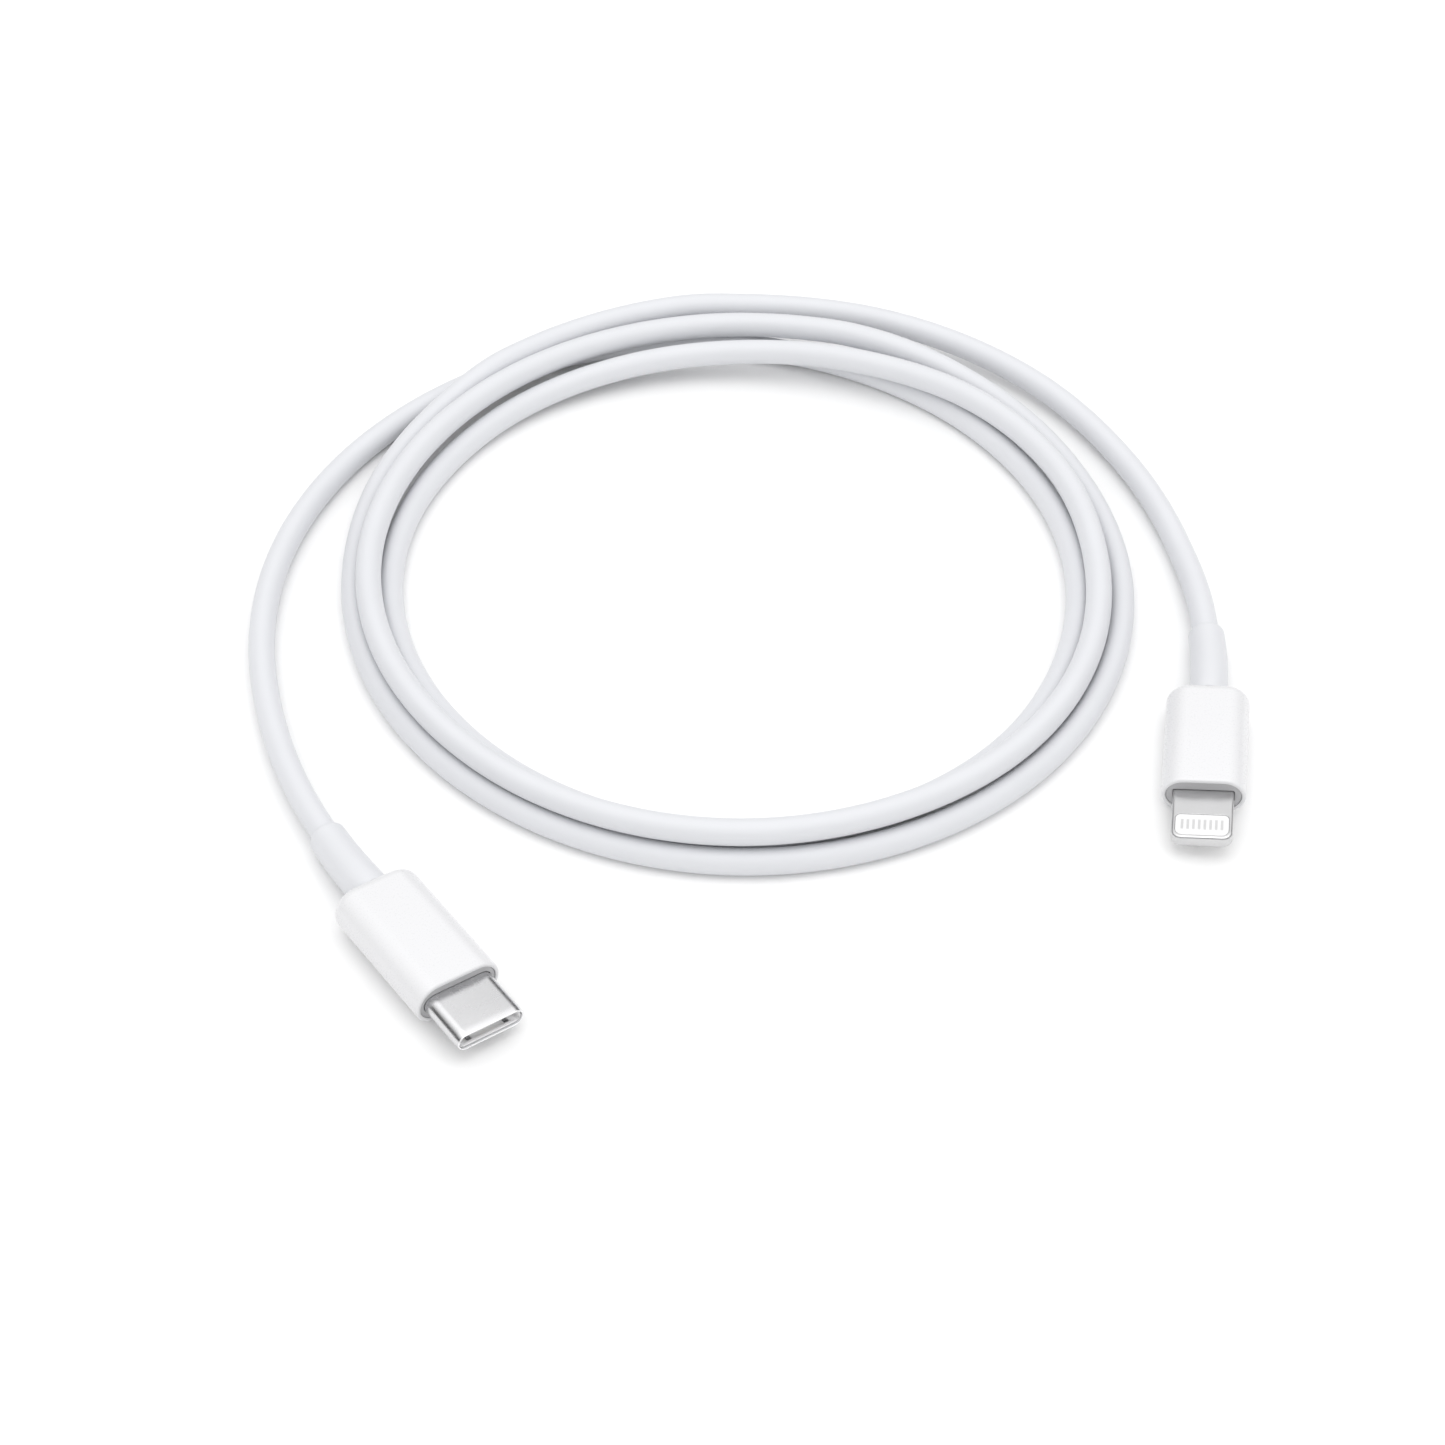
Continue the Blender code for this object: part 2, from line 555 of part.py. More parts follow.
def springs(place, joint):
    """A grounding spring above and below the housing; its two fingers dip into the slot."""
    inner = HOUSING_H / 2 + 0.03
    back, front, half = 1.2, 4.7, FINGER_W / 2
    side_view = ((front, 0.0), (4.92, 0.0), (5.10, -0.16), (5.24, -0.30), (5.36, -0.27))
    for name, sign in (("usbc_spring_top", 1), ("usbc_spring_bottom", -1)):
        points, count = [], len(side_view)
        for z in (inner, inner + FINGER_T):
            points += [(-2.6, back, z), (2.6, back, z)]
            for x in (FINGER_X, -FINGER_X):
                for edge in (half, -half):
                    points += [(x + edge, y, z + drop) for y, drop in side_view]
            points += [(2.6, front, z), (-2.6, front, z)]
        half_count = len(points) // 2
        right_out, right_in, left_in, left_out = (2 + count * k for k in range(4))
        corner_right, corner_left = half_count - 2, half_count - 1
        plate = (0, 1, corner_right, right_out, right_in, left_in, left_out, corner_left)
        strips = []
        for a, b in ((right_out, right_in), (left_in, left_out)):
            strips += [(a + k, a + k + 1, b + k + 1, b + k) for k in range(count - 1)]
        faces = [plate] + strips
        faces += [tuple(i + half_count for i in face[::-1]) for face in [plate] + strips]
        outline = [0, 1, corner_right]
        outline += [right_out + k for k in range(count)]
        outline += [right_in + k for k in range(count - 1, -1, -1)]
        outline += [left_in + k for k in range(count)]
        outline += [left_out + k for k in range(count - 1, -1, -1)] + [corner_left]
        for a, b in zip(outline, outline[1:] + outline[:1]):
            faces.append((b, a, a + half_count, b + half_count))
        spring = add(name, [place(x, y, sign * z) for x, y, z in points], faces, "steel", joint,
                     smooth=False)
        turned_out(spring)


def contact_rows(place):
    """Spring arms in the slot. Each row bends outward together when a socket's tongue enters."""
    side_view = ((-2.4, 0.37), (0.4, 0.40), (3.2, 0.33), (4.3, 0.26), (4.8, 0.33))
    pivot = place(0, ARM_PIVOT, 0)
    for row, sign, fitted in (("a", 1, UPPER), ("b", -1, LOWER)):
        for number in fitted:
            x = sign * (number - 6.5) * USBC_PITCH
            loops = [[place(x + w, y, sign * (z + t)) for w, t in (
                (-ARM_W / 2, 0), (ARM_W / 2, 0), (ARM_W / 2, ARM_T), (-ARM_W / 2, ARM_T))]
                for y, z in side_view]
            obj = body(f"usbc_contact_{row}{number}", loops, "gold", pivot)
            obj.data.shade_flat()


def latches(place):
    """A sprung arm at each side of the slot, with a hook that holds on to a socket's tongue."""
    top_view = ((-1.0, 3.40), (0.4, 3.36), (3.9, 3.30), (4.4, 3.14), (4.8, 3.14), (5.3, 3.24))
    for side, sign in (("left", -1), ("right", 1)):
        loops = [[place(sign * (x + w), y, z) for w, z in (
            (0, -0.3), (0.13, -0.3), (0.13, 0.3), (0, 0.3))] for y, x in top_view]
        pivot = place(sign * 3.4, ARM_PIVOT, 0)
        obj = body(f"usbc_latch_{side}", loops, "steel", pivot)
        obj.data.shade_flat()


def main():
    clear()
    line, marks = spine()
    jackets(line, marks)
    cores(line)
    backward = [(p, -t) for p, t in line[marks["flat_4"] - 1::-1]]
    flat_plug(backward, line[marks["flat_4"]][0])
    usbc_plug(line[marks["usbc_4"] + 1:], line[marks["usbc_4"]][0])


main()
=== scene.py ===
"""Looks for the coiled charging cable: smooth cable, moulded boots, satin metal plugs, a studio.

Lengths in the constants are millimetres from the centre of the coil; row() turns them into the
row frame in metres. The cable is one smooth line cut half way between the joints, so every cut
lies where two neighbours follow the same body.
"""

import math

import bpy
from mathutils import Matrix, Vector

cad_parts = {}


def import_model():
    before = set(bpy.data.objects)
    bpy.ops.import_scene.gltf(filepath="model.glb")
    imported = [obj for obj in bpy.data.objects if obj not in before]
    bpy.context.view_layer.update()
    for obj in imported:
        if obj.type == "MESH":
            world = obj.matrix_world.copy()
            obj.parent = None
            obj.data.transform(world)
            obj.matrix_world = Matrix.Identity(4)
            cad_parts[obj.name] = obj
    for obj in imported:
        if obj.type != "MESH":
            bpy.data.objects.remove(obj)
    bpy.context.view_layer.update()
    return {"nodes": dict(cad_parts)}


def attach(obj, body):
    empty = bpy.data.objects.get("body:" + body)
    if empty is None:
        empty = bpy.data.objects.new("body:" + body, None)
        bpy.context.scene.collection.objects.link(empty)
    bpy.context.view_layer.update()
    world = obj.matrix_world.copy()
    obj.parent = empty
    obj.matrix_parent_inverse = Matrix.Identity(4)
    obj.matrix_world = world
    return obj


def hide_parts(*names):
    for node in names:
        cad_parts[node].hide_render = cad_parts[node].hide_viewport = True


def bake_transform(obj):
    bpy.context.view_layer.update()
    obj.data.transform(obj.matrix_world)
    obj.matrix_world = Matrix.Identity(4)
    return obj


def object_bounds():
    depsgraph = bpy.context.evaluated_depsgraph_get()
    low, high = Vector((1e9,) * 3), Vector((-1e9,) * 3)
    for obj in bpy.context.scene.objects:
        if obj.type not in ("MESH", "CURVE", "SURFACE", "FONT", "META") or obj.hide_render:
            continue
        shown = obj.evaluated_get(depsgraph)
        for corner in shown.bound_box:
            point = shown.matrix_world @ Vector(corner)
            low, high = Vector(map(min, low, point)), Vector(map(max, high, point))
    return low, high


MM = 0.001
ORIGIN = Vector((-0.29, -12.08, 0.0))

# ---- cable ------------------------------------------------------------------------------
JACKET_R, BORE_R = 1.52, 1.05
BRAID_OUT_R, BRAID_IN_R = 0.97, 0.87
WIRE_R, WIRE_LAY_R, WIRE_LAY = 0.28, 0.44, 26.0
FLOOR, OVER = 1.54, 4.7
ROUTE = (
    (-23, 57.5, 2.0), (0, 53.0, FLOOR), (23, 51.0, 1.8), (45, 50.5, 2.2), (68, 49.5, 2.9),
    (90, 47.5, 4.2), (100, 47.2, OVER), (130, 46.6, OVER), (145, 46.9, 3.2), (160, 47.0, 2.2),
    (180, 46.5, FLOOR), (225, 46.0, FLOOR), (270, 46.0, FLOOR), (315, 45.5, FLOOR),
    (338, 45.0, FLOOR),
    (360, 44.5, FLOOR), (383, 44.0, 2.0), (405, 44.0, 2.8), (428, 43.5, 4.4), (435, 43.2, OVER),
    (458, 43.0, OVER), (495, 43.5, 4.7), (540, 44.5, 4.4), (585, 44.5, 4.4), (630, 44.5, 4.7),
    (652, 44.0, 4.6), (675, 43.5, 4.4), (698, 42.5, 4.1),
    (720, 41.5, 4.3), (743, 41.0, OVER), (765, 40.2, OVER), (788, 38.7, 4.6), (810, 38.5, 3.9),
    (832, 39.5, 3.0), (855, 41.0, 2.0), (878, 41.8, FLOOR), (945, 42.0, FLOOR), (990, 42.0, FLOOR),
    (1035, 41.0, FLOOR), (1058, 40.0, FLOOR),
    (1080, 39.5, FLOOR), (1125, 39.5, FLOOR), (1148, 40.5, FLOOR), (1170, 42.5, FLOOR),
    (1192, 45.5, FLOOR), (1215, 49.0, FLOOR), (1260, 56.0, FLOOR), (1283, 59.0, FLOOR),
)
FLAT_JOINTS = (62, 32, 8)
USBC_JOINTS = (1228, 1252, 1274)
TAILS = {"flat": ("coil", "flat_tail_1", "flat_tail_2", "flat_tail_3", "flat_plug"),
         "usbc": ("coil", "usbc_tail_1", "usbc_tail_2", "usbc_tail_3", "usbc_plug")}
COIL_REACH = 10.0        # how far into the coil the first length of each tail starts
BEND_REACH = 9.0         # how far either side of a joint a bend would reach

# ---- plugs ------------------------------------------------------------------------------
FLAT_AT, FLAT_HEADING, FLAT_ROLL = (50.74, -36.90, 2.71), -7.7, 5.5
FLAT_ENTRY, FLAT_ENTRY_HEADING = (53.70, -10.6, 2.2), 1.0
USBC_AT, USBC_HEADING, USBC_ROLL = (-30.05, -65.80, 2.92), 36.5, -5.0
USBC_ENTRY, USBC_ENTRY_HEADING = (-45.95, -43.15, 2.2), 30.0
STUB_OUT = 2.4
FLAT_BOOT, FLAT_CAN = (9.4, 5.0, 15.5), (7.8, 3.7)
USBC_BOOT, USBC_CAN = (10.3, 5.36, 17.0), (8.9, 4.2)
BOOT_REAR_ROUND = 1.2
RIM, RECESS = 0.5, 0.15
CAN_WALL = 0.25
FLAT_RELIEF, USBC_RELIEF = (2.10, 2.20), (2.12, 2.34)
NECK_R, NECK_L, RELIEF_BORE, RELIEF_LIP = 1.9, 2.4, 1.58, 0.40
TAB_W, TAB_T, TAB_OUT, TAB_IN = 6.7, 1.5, 7.0, 4.5
WINDOW_W, WINDOW_L, WINDOW_TIP = 5.9, 3.1, 0.45
TAB_ROUND, WINDOW_ROUND = 1.08, (0.85, 0.62)
SHELL_W, SHELL_H, SHELL_OUT, SHELL_IN, SHELL_WALL = 8.25, 2.4, 6.2, 5.0, 0.24
HOUSING_W, HOUSING_H = 7.62, 1.62
SLOT_W, SLOT_H = 7.3, 1.24
HOUSING_BACK, HOUSING_CHAMFER = -1.2, 0.06
FINGER_X, FINGER_W, FINGER_WINDOW, FINGER_Z = 2.3, 0.46, (4.82, 5.62), 0.7

ROUND, BRAID_ROUND, WIRE_ROUND = 40, 16, 8    # sides of the cable, braid and wires
EDGE = 28                # steps round each quarter of a stadium outline

# ---- studio: each tuple is the brightness low and high, and the sines of the heights where
# the room turns into the overhead softbox, for matt surfaces and for reflections -----------
MATT_DOME, GLOSS_DOME = (0.42, 1.21, 0.02, 0.45), (0.10, 1.85, 0.38, 1.0)
KEY, KEY_SIZE, KEY_AT = 1.2, (0.7, 0.5), (0.05, -0.05, 0.8)
FLOOR_RADIUS = 3.0

# ---- camera: degrees, then millimetres, then metres --------------------------------------
PITCH, TILT = 45.7727, 0.3334
SENSOR, LENS = 36.0, 80.56
CAMERA_AT = (-0.0023285, -0.26915, 0.264973)


def row(p):
    return (Vector(p) - ORIGIN) * MM


# ---- materials --------------------------------------------------------------------------
class Nodes:
    """Builds one material's node tree."""

    def __init__(self, name):
        self.mat = bpy.data.materials.new(name)
        self.mat.use_nodes = True
        self.tree = self.mat.node_tree
        self.shader = self.tree.nodes["Principled BSDF"]
        self.coord = self.tree.nodes.new("ShaderNodeTexCoord")

    def new(self, kind, **values):
        node = self.tree.nodes.new(kind)
        for key, value in values.items():
            if isinstance(value, (int, float, str, bool)) and hasattr(node, key):
                setattr(node, key, value)
            else:
                node.inputs[key.replace("_", " ")].default_value = value
        return node

    def link(self, a, b):
        self.tree.links.new(a, b)

    def where(self, turn=0.0, stretch=(1.0, 1.0, 1.0), space="Object"):
        """Texture space, turned about Z by so many degrees and then stretched."""
        turned = self.new("ShaderNodeVectorRotate", rotation_type="Z_AXIS")
        turned.inputs["Angle"].default_value = math.radians(turn)
        scaled = self.new("ShaderNodeMapping")
        scaled.inputs["Scale"].default_value = stretch
        self.link(self.coord.outputs[space], turned.inputs["Vector"])
        self.link(turned.outputs[0], scaled.inputs["Vector"])
        return scaled.outputs[0]

    def noise(self, vector, scale, detail=2.0):
        node = self.new("ShaderNodeTexNoise")
        node.inputs["Scale"].default_value = scale
        node.inputs["Detail"].default_value = detail
        self.link(vector, node.inputs["Vector"])
        return node.outputs["Fac"]

    def span(self, value, low, high, start=0.3, end=0.7):
        node = self.new("ShaderNodeMapRange")
        for key, number in (("From Min", start), ("From Max", end), ("To Min", low),
                            ("To Max", high)):
            node.inputs[key].default_value = number
        self.link(value, node.inputs["Value"])
        return node.outputs[0]

    def mix(self, factor, a, b):
        node = self.new("ShaderNodeMix", data_type="RGBA")
        node.inputs[6].default_value = (*a, 1.0)
        node.inputs[7].default_value = (*b, 1.0)
        self.link(factor, node.inputs[0])
        return node.outputs[2]

    def bump(self, height, strength, depth):
        node = self.new("ShaderNodeBump")
        node.inputs["Strength"].default_value = strength
        node.inputs["Distance"].default_value = depth * MM
        self.link(height, node.inputs["Height"])
        self.link(node.outputs[0], self.shader.inputs["Normal"])


def moulded(name, colour, shade, rough, grain, coat=0.0, depth=0.006):
    """Moulded plastic or rubber: fine grain, a slow change of shade, uneven gloss."""
    n = Nodes(name)
    at = n.where()
    fine, slow = n.noise(at, 1000.0 / grain, 3.0), n.noise(at, 140.0, 2.0)
    dark = tuple(c * shade for c in colour)
    n.link(n.mix(n.span(slow, 0.0, 1.0), dark, colour), n.shader.inputs["Base Color"])
    n.link(n.span(fine, rough - 0.05, rough + 0.05), n.shader.inputs["Roughness"])
    n.bump(fine, 0.35, depth)
    n.shader.inputs["Coat Weight"].default_value = coat
    n.shader.inputs["Coat Roughness"].default_value = 0.25
    return n.mat


def metal(name, colour, rough, turn=0.0, along=0.12, grain=0.03, uneven=0.05, depth=0.0015,
          spread=0.94, bare=1.0):
    """Worked metal: fine lines along the part, with uneven gloss and a slight change of tone.

    A share bare below 1 is a matt or plated finish, which scatters light as well.
    """
    n = Nodes(name)
    at = n.where(turn, (1.0, along, 1.0))
    fine, slow = n.noise(at, 1000.0 / grain, 2.0), n.noise(n.where(), 600.0, 2.0)
    dark = tuple(c * spread for c in colour)
    n.link(n.mix(n.span(fine, 0.0, 1.0), dark, colour), n.shader.inputs["Base Color"])
    n.link(n.span(slow, rough - uneven, rough + uneven), n.shader.inputs["Roughness"])
    n.shader.inputs["Metallic"].default_value = bare
    n.bump(fine, 0.3, depth)
    return n.mat


def woven(name):
    """Braided shield: two sets of tinned strands that cross at an angle."""
    n = Nodes(name)
    strands = []
    for angle in (38, -38):
        wave = n.new("ShaderNodeTexWave", wave_profile="SIN")
        wave.inputs["Scale"].default_value = 3.2
        wave.inputs["Distortion"].default_value = 0.4
        n.link(n.where(angle, (3.0, 3.0, 3.0), "UV"), wave.inputs["Vector"])
        strands.append(wave.outputs["Fac"])
    top = n.new("ShaderNodeMath", operation="MAXIMUM")
    n.link(strands[0], top.inputs[0])
    n.link(strands[1], top.inputs[1])
    n.link(n.mix(top.outputs[0], (0.20, 0.19, 0.18), (0.72, 0.70, 0.66)),
           n.shader.inputs["Base Color"])
    n.link(n.span(top.outputs[0], 0.55, 0.32, 0.0, 1.0), n.shader.inputs["Roughness"])
    n.shader.inputs["Metallic"].default_value = 1.0
    n.bump(top.outputs[0], 0.8, 0.05)
    return n.mat


def laminate(name):
    """Circuit board: solder mask over traces, with the glass weave just showing."""
    n = Nodes(name)
    at = n.where(-36.0)
    cells = n.new("ShaderNodeTexVoronoi", feature="DISTANCE_TO_EDGE", distance="MANHATTAN")
    cells.inputs["Scale"].default_value = 1400.0
    n.link(at, cells.inputs["Vector"])
    traces = n.span(cells.outputs["Distance"], 1.0, 0.0, 0.02, 0.08)
    n.link(n.mix(traces, (0.012, 0.10, 0.05), (0.03, 0.22, 0.10)), n.shader.inputs["Base Color"])
    n.link(n.span(n.noise(at, 9000.0), 0.25, 0.4), n.shader.inputs["Roughness"])
    n.bump(traces, 0.6, 0.02)
    return n.mat


def make_materials():
    return {
        "jacket": moulded("jacket_tpe", (0.675, 0.683, 0.708), 0.985, 0.50, 0.10),
        "relief": moulded("relief_tpe", (0.675, 0.682, 0.706), 0.985, 0.46, 0.10),
        "boot": moulded("boot_gloss", (0.725, 0.725, 0.737), 0.99, 0.30, 0.16, coat=0.15,
                        depth=0.0015),
        "insulator": moulded("insulator_white", (0.80, 0.80, 0.80), 0.99, 0.30, 0.12, depth=0.003),
        "housing": moulded("housing_grey", (0.84, 0.84, 0.85), 0.95, 0.42, 0.08),
        "shell": metal("shell_steel", (0.73, 0.73, 0.74), 0.27, USBC_HEADING, 0.05, 0.05, 0.03),
        # The lip is a paler, partly matt copy of the shell steel: a painted highlight that keeps
        # the rim of the mouth light all round.
        "lip": metal("shell_lip_painted_highlight", (0.92, 0.92, 0.93), 0.30, USBC_HEADING, 0.5, 0.05, 0.05,
                     bare=0.45),
        "spring": metal("spring_steel", (0.60, 0.60, 0.61), 0.34, USBC_HEADING, 0.2, 0.04),
        "latch": metal("latch_steel", (0.22, 0.22, 0.23), 0.40, USBC_HEADING, 0.2, 0.04),
        "tab": metal("tab_blasted", (0.68, 0.68, 0.685), 0.36, FLAT_HEADING, 0.9, 0.05, 0.07,
                     0.004, 0.90),
        "plate": metal("can_plate", (0.50, 0.50, 0.51), 0.55, 0.0, 0.9, 0.08, 0.06, 0.004,
                       0.92, 0.15),
        "pad": metal("pad_plated", (0.72, 0.72, 0.72), 0.34, FLAT_HEADING, 0.15, 0.03),
        "gold": metal("contact_gold", (0.86, 0.74, 0.50), 0.28, USBC_HEADING, 0.15, 0.03),
        "braid": woven("braid_tinned"),
        "board": laminate("board_mask"),
        "chip": moulded("chip_epoxy", (0.03, 0.03, 0.034), 0.8, 0.45, 0.03, depth=0.01),
        "red": moulded("wire_red", (0.55, 0.03, 0.025), 0.9, 0.38, 0.15),
        "black": moulded("wire_black", (0.02, 0.02, 0.022), 0.8, 0.38, 0.15),
        "green": moulded("wire_green", (0.03, 0.32, 0.09), 0.9, 0.38, 0.15),
        "white": moulded("wire_white", (0.80, 0.80, 0.78), 0.95, 0.38, 0.15),
    }


# ---- the cable's line -------------------------------------------------------------------
def route_value(angle, column):
    """The route's radius (column 1) or height (column 2), smooth through its given points."""
    i = max(k for k in range(len(ROUTE) - 1) if ROUTE[k][0] <= angle or k == 0)

    def rate(k):
        return (ROUTE[k + 1][column] - ROUTE[k][column]) / (ROUTE[k + 1][0] - ROUTE[k][0])

    def slope(k):
        if k == 0 or k == len(ROUTE) - 1:
            return rate(min(k, len(ROUTE) - 2))
        before, after = rate(k - 1), rate(k)
        if column == 2 and before * after <= 0:
            return 0.0
        gap_before, gap_after = ROUTE[k][0] - ROUTE[k - 1][0], ROUTE[k + 1][0] - ROUTE[k][0]
        mean = (before * gap_after + after * gap_before) / (gap_before + gap_after)
        if column == 2:
            mean = math.copysign(min(abs(mean), 3 * abs(before), 3 * abs(after)), mean)
        return mean

    span = ROUTE[i + 1][0] - ROUTE[i][0]
    t = (angle - ROUTE[i][0]) / span
    return ((2 * t ** 3 - 3 * t ** 2 + 1) * ROUTE[i][column]
            + (t ** 3 - 2 * t ** 2 + t) * span * slope(i)
            + (3 * t ** 2 - 2 * t ** 3) * ROUTE[i + 1][column]
            + (t ** 3 - t ** 2) * span * slope(i + 1))


def route_point(angle):
    radius, height, turn = route_value(angle, 1), route_value(angle, 2), math.radians(angle)
    return Vector((radius * math.cos(turn), radius * math.sin(turn), height))


def heading_vector(degrees):
    turn = math.radians(degrees)
    return Vector((math.sin(turn), -math.cos(turn), 0))


def hermite(p0, d0, p1, d1, count):
    """Points of a smooth curve between two points with given directions."""
    reach, points = (p1 - p0).length, []
    for k in range(count + 1):
        t = k / count
        points.append((2 * t ** 3 - 3 * t ** 2 + 1) * p0 + (t ** 3 - 2 * t ** 2 + t) * reach * d0
                      + (3 * t ** 2 - 2 * t ** 3) * p1 + (t ** 3 - t ** 2) * reach * d1)
    return points


class Line:
    """The cable's centre line from plug to plug, by distance along it."""

    def __init__(self):
        flat, flat_joint = self.relief(FLAT_ENTRY, FLAT_ENTRY_HEADING, FLAT_AT, FLAT_HEADING,
                                       FLAT_BOOT[2])
        usbc, usbc_joint = self.relief(USBC_ENTRY, USBC_ENTRY_HEADING, USBC_AT, USBC_HEADING,
                                       USBC_BOOT[2])
        self.points, stops = [], {}
        self.extend(flat[::-1])
        stops["flat_in"] = len(self.points) - 1
        self.extend([flat_joint])
        stops["flat_4"] = len(self.points) - 1
        self.extend(self.link(FLAT_JOINTS[2], -1, flat_joint, FLAT_ENTRY_HEADING)[::-1])
        stops["flat_3"] = len(self.points) - 1
        names = ("flat_2", "flat_1", "usbc_1", "usbc_2", "usbc_3")
        angles = FLAT_JOINTS[::-1] + USBC_JOINTS
        for name, first, last in zip(names, angles, angles[1:]):
            steps = max(8, round((last - first) / 0.5))
            self.extend([route_point(first + (last - first) * k / steps)
                         for k in range(steps + 1)])
            stops[name] = len(self.points) - 1
        self.extend(self.link(USBC_JOINTS[2], 1, usbc_joint, USBC_ENTRY_HEADING))
        stops["usbc_4"] = len(self.points) - 1
        self.extend(usbc[:1])
        stops["usbc_in"] = len(self.points) - 1
        self.extend(usbc)
        self.along = [0.0]
        for a, b in zip(self.points, self.points[1:]):
            self.along.append(self.along[-1] + (b - a).length)
        self.length = self.along[-1]
        self.stop = {name: self.along[i] for name, i in stops.items()}

    def extend(self, points):
        for p in points:
            if not self.points or (p - self.points[-1]).length > 1e-5:
                self.points.append(p)

    @staticmethod
    def relief(entry, entry_heading, at, heading, length):
        """From the strain relief's mouth to inside the boot, and the joint just outside it."""
        forward, inward = heading_vector(heading), heading_vector(entry_heading)
        rear = Vector(at) - forward * length
        curve = hermite(Vector(entry), inward, rear, forward, 30)
        return curve + [rear + forward * 0.2 * k for k in range(1, 14)], \
            Vector(entry) - inward * STUB_OUT

    @staticmethod
    def link(angle, sign, joint, heading):
        """From the end of the route to the joint just outside the strain relief."""
        start = route_point(angle)
        ahead = (route_point(angle + 2 * sign) - start).normalized()
        return hermite(start, ahead, joint, heading_vector(heading), 60)

    def point(self, s):
        s = min(max(s, 0.0), self.length)
        low, high = 0, len(self.along) - 1
        while high - low > 1:
            middle = (low + high) // 2
            low, high = (middle, high) if self.along[middle] <= s else (low, middle)
        t = (s - self.along[low]) / (self.along[high] - self.along[low])
        return self.points[low].lerp(self.points[high], t)

    def frame(self, s):
        """Middle, direction, side and up at a distance along the line."""
        a, b = max(s - 0.5, 0.0), min(s + 0.5, self.length)
        along = (self.point(b) - self.point(a)).normalized()
        side = along.cross(Vector((0, 0, 1))).normalized()
        return self.point(s), along, side, side.cross(along)

    def cuts(self, start, end, step):
        count = max(2, round((end - start) / step))
        return [start + (end - start) * k / count for k in range(count + 1)]


# ---- meshes -----------------------------------------------------------------------------
def build(name, verts, faces, mat, uvs=None, sharp=35):
    """One piece from points in millimetres, smooth except at edges sharper than the limit."""
    mesh = bpy.data.meshes.new(name)
    mesh.from_pydata([row(v) for v in verts], [], faces)
    volume = 0.0
    for poly in mesh.polygons:
        corners = [mesh.vertices[v].co - mesh.vertices[0].co for v in poly.vertices]
        for k in range(1, len(corners) - 1):
            volume += corners[0].dot(corners[k].cross(corners[k + 1]))
    if uvs:
        layer = mesh.uv_layers.new(name="UVMap")
        for loop in mesh.loops:
            layer.data[loop.index].uv = uvs[loop.vertex_index]
    if volume < 0:
        mesh.flip_normals()
    mesh.shade_smooth()
    mesh.set_sharp_from_angle(angle=math.radians(sharp))
    mesh.materials.append(mat)
    obj = bpy.data.objects.new(name, mesh)
    bpy.context.scene.collection.objects.link(obj)
    return obj


def skin(loops, closed):
    """Points and faces of a surface through loops, closed on itself or capped at its ends."""
    count = len(loops[0])
    verts, faces = [p for loop in loops for p in loop], []
    for r in range(len(loops) if closed else len(loops) - 1):
        a, b = r * count, ((r + 1) % len(loops)) * count
        faces += [(a + k, a + (k + 1) % count, b + (k + 1) % count, b + k) for k in range(count)]
    if not closed:
        faces.append(tuple(range(count))[::-1])
        faces.append(tuple(range(len(verts) - count, len(verts))))
    return verts, faces


def lofted(name, loops, mat, closed=True, sharp=35):
    verts, faces = skin(loops, closed)
    return build(name, verts, faces, mat, sharp=sharp)


def circle(line, s, radius, sides, middle=None):
    """A loop square to the cable's line, round the line or round a given middle."""
    centre, _, side, up = line.frame(s)
    turns = [math.tau * k / sides for k in range(sides)]
    return [(middle or centre) + (side * math.cos(turn) + up * math.sin(turn)) * radius
            for turn in turns]


def pipe(name, line, start, end, outer, inner, mat, step, sides):
    """A hollow length of the cable, with a texture space that runs along it."""
    cuts = line.cuts(start, end, step)
    loops = [circle(line, s, outer, sides) for s in cuts]
    loops += [circle(line, s, inner, sides) for s in cuts[::-1]]
    verts, faces = skin(loops, True)
    round_mm = math.tau * outer
    uvs = [(k / sides, s / round_mm) for s in cuts + cuts[::-1] for k in range(sides)]
    return build(name, verts, faces, mat, uvs)


def strand(name, line, start, end, quarter, mat, step):
    """One insulated wire, laid round the cable's middle with the other three."""
    loops = []
    for s in line.cuts(start, end, step):
        centre, _, side, up = line.frame(s)
        turn = math.tau * ((quarter + 0.5) / 4 + s / WIRE_LAY)
        middle = centre + (side * math.cos(turn) + up * math.sin(turn)) * WIRE_LAY_R
        loops.append(circle(line, s, WIRE_R, WIRE_ROUND, middle))
    return lofted(name, loops, mat, closed=False, sharp=60)


def placer(at, heading, roll=0.0):
    """Plug coordinates to the coil's: across the plug, along it toward its tip, and up."""
    forward = heading_vector(heading)
    level, turn = Vector((-forward.y, forward.x, 0)), math.radians(roll)
    across = level * math.cos(turn) + Vector((0, 0, math.sin(turn)))
    up = forward.cross(across)

    def place(x, y, z):
        return Vector(at) + across * x + forward * y + up * z
    return place


def stadium(width, height, y, place, corner=None):
    """A loop round the plug's axis; a corner radius under half the height gives flat ends."""
    radius = min(height, width) / 2 if corner is None else corner
    loop = []
    for k in range(4 * EDGE):
        quarter, part = divmod(k, EDGE)
        turn = math.pi / 2 * (quarter + part / (EDGE - 1))
        sx, sz = ((1, 1), (-1, 1), (-1, -1), (1, -1))[quarter]
        loop.append(place(sx * (width / 2 - radius) + radius * math.cos(turn), y,
                          sz * (height / 2 - radius) + radius * math.sin(turn)))
    return loop


def arc(radius, count, start=0.0, end=90.0):
    """Points (cos, sin) of an arc, scaled by the radius."""
    return [(radius * math.cos(math.radians(start + (end - start) * k / count)),
             radius * math.sin(math.radians(start + (end - start) * k / count)))
            for k in range(count + 1)]


